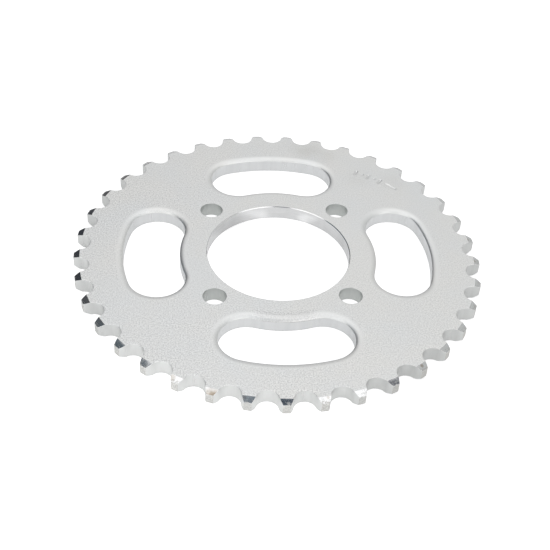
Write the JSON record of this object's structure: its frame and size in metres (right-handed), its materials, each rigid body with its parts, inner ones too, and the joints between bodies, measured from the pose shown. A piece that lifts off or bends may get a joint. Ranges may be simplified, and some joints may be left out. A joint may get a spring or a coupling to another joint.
{
  "type": "motorcycle rear sprocket",
  "caption": "Flat toothed chain ring for a motorcycle's rear wheel, with a round centre bore, bolt holes and kidney-shaped lightening slots.",
  "frame": {"origin": "on the axle line, in the face that seats on the wheel hub", "axes": "+Z along the axle line, away from the hub; +X through the middle of one kidney slot; the bolt holes lie on the diagonals"},
  "size_m": [0.1531, 0.1532, 0.0058],
  "materials": {
    "zinc_plated_steel": "bright zinc plate over a fine blasted grain, with turned bevels and bore"
  },
  "bodies": {
    "root": {"sprocket_plate": "zinc_plated_steel"}
  },
  "joints": []
}
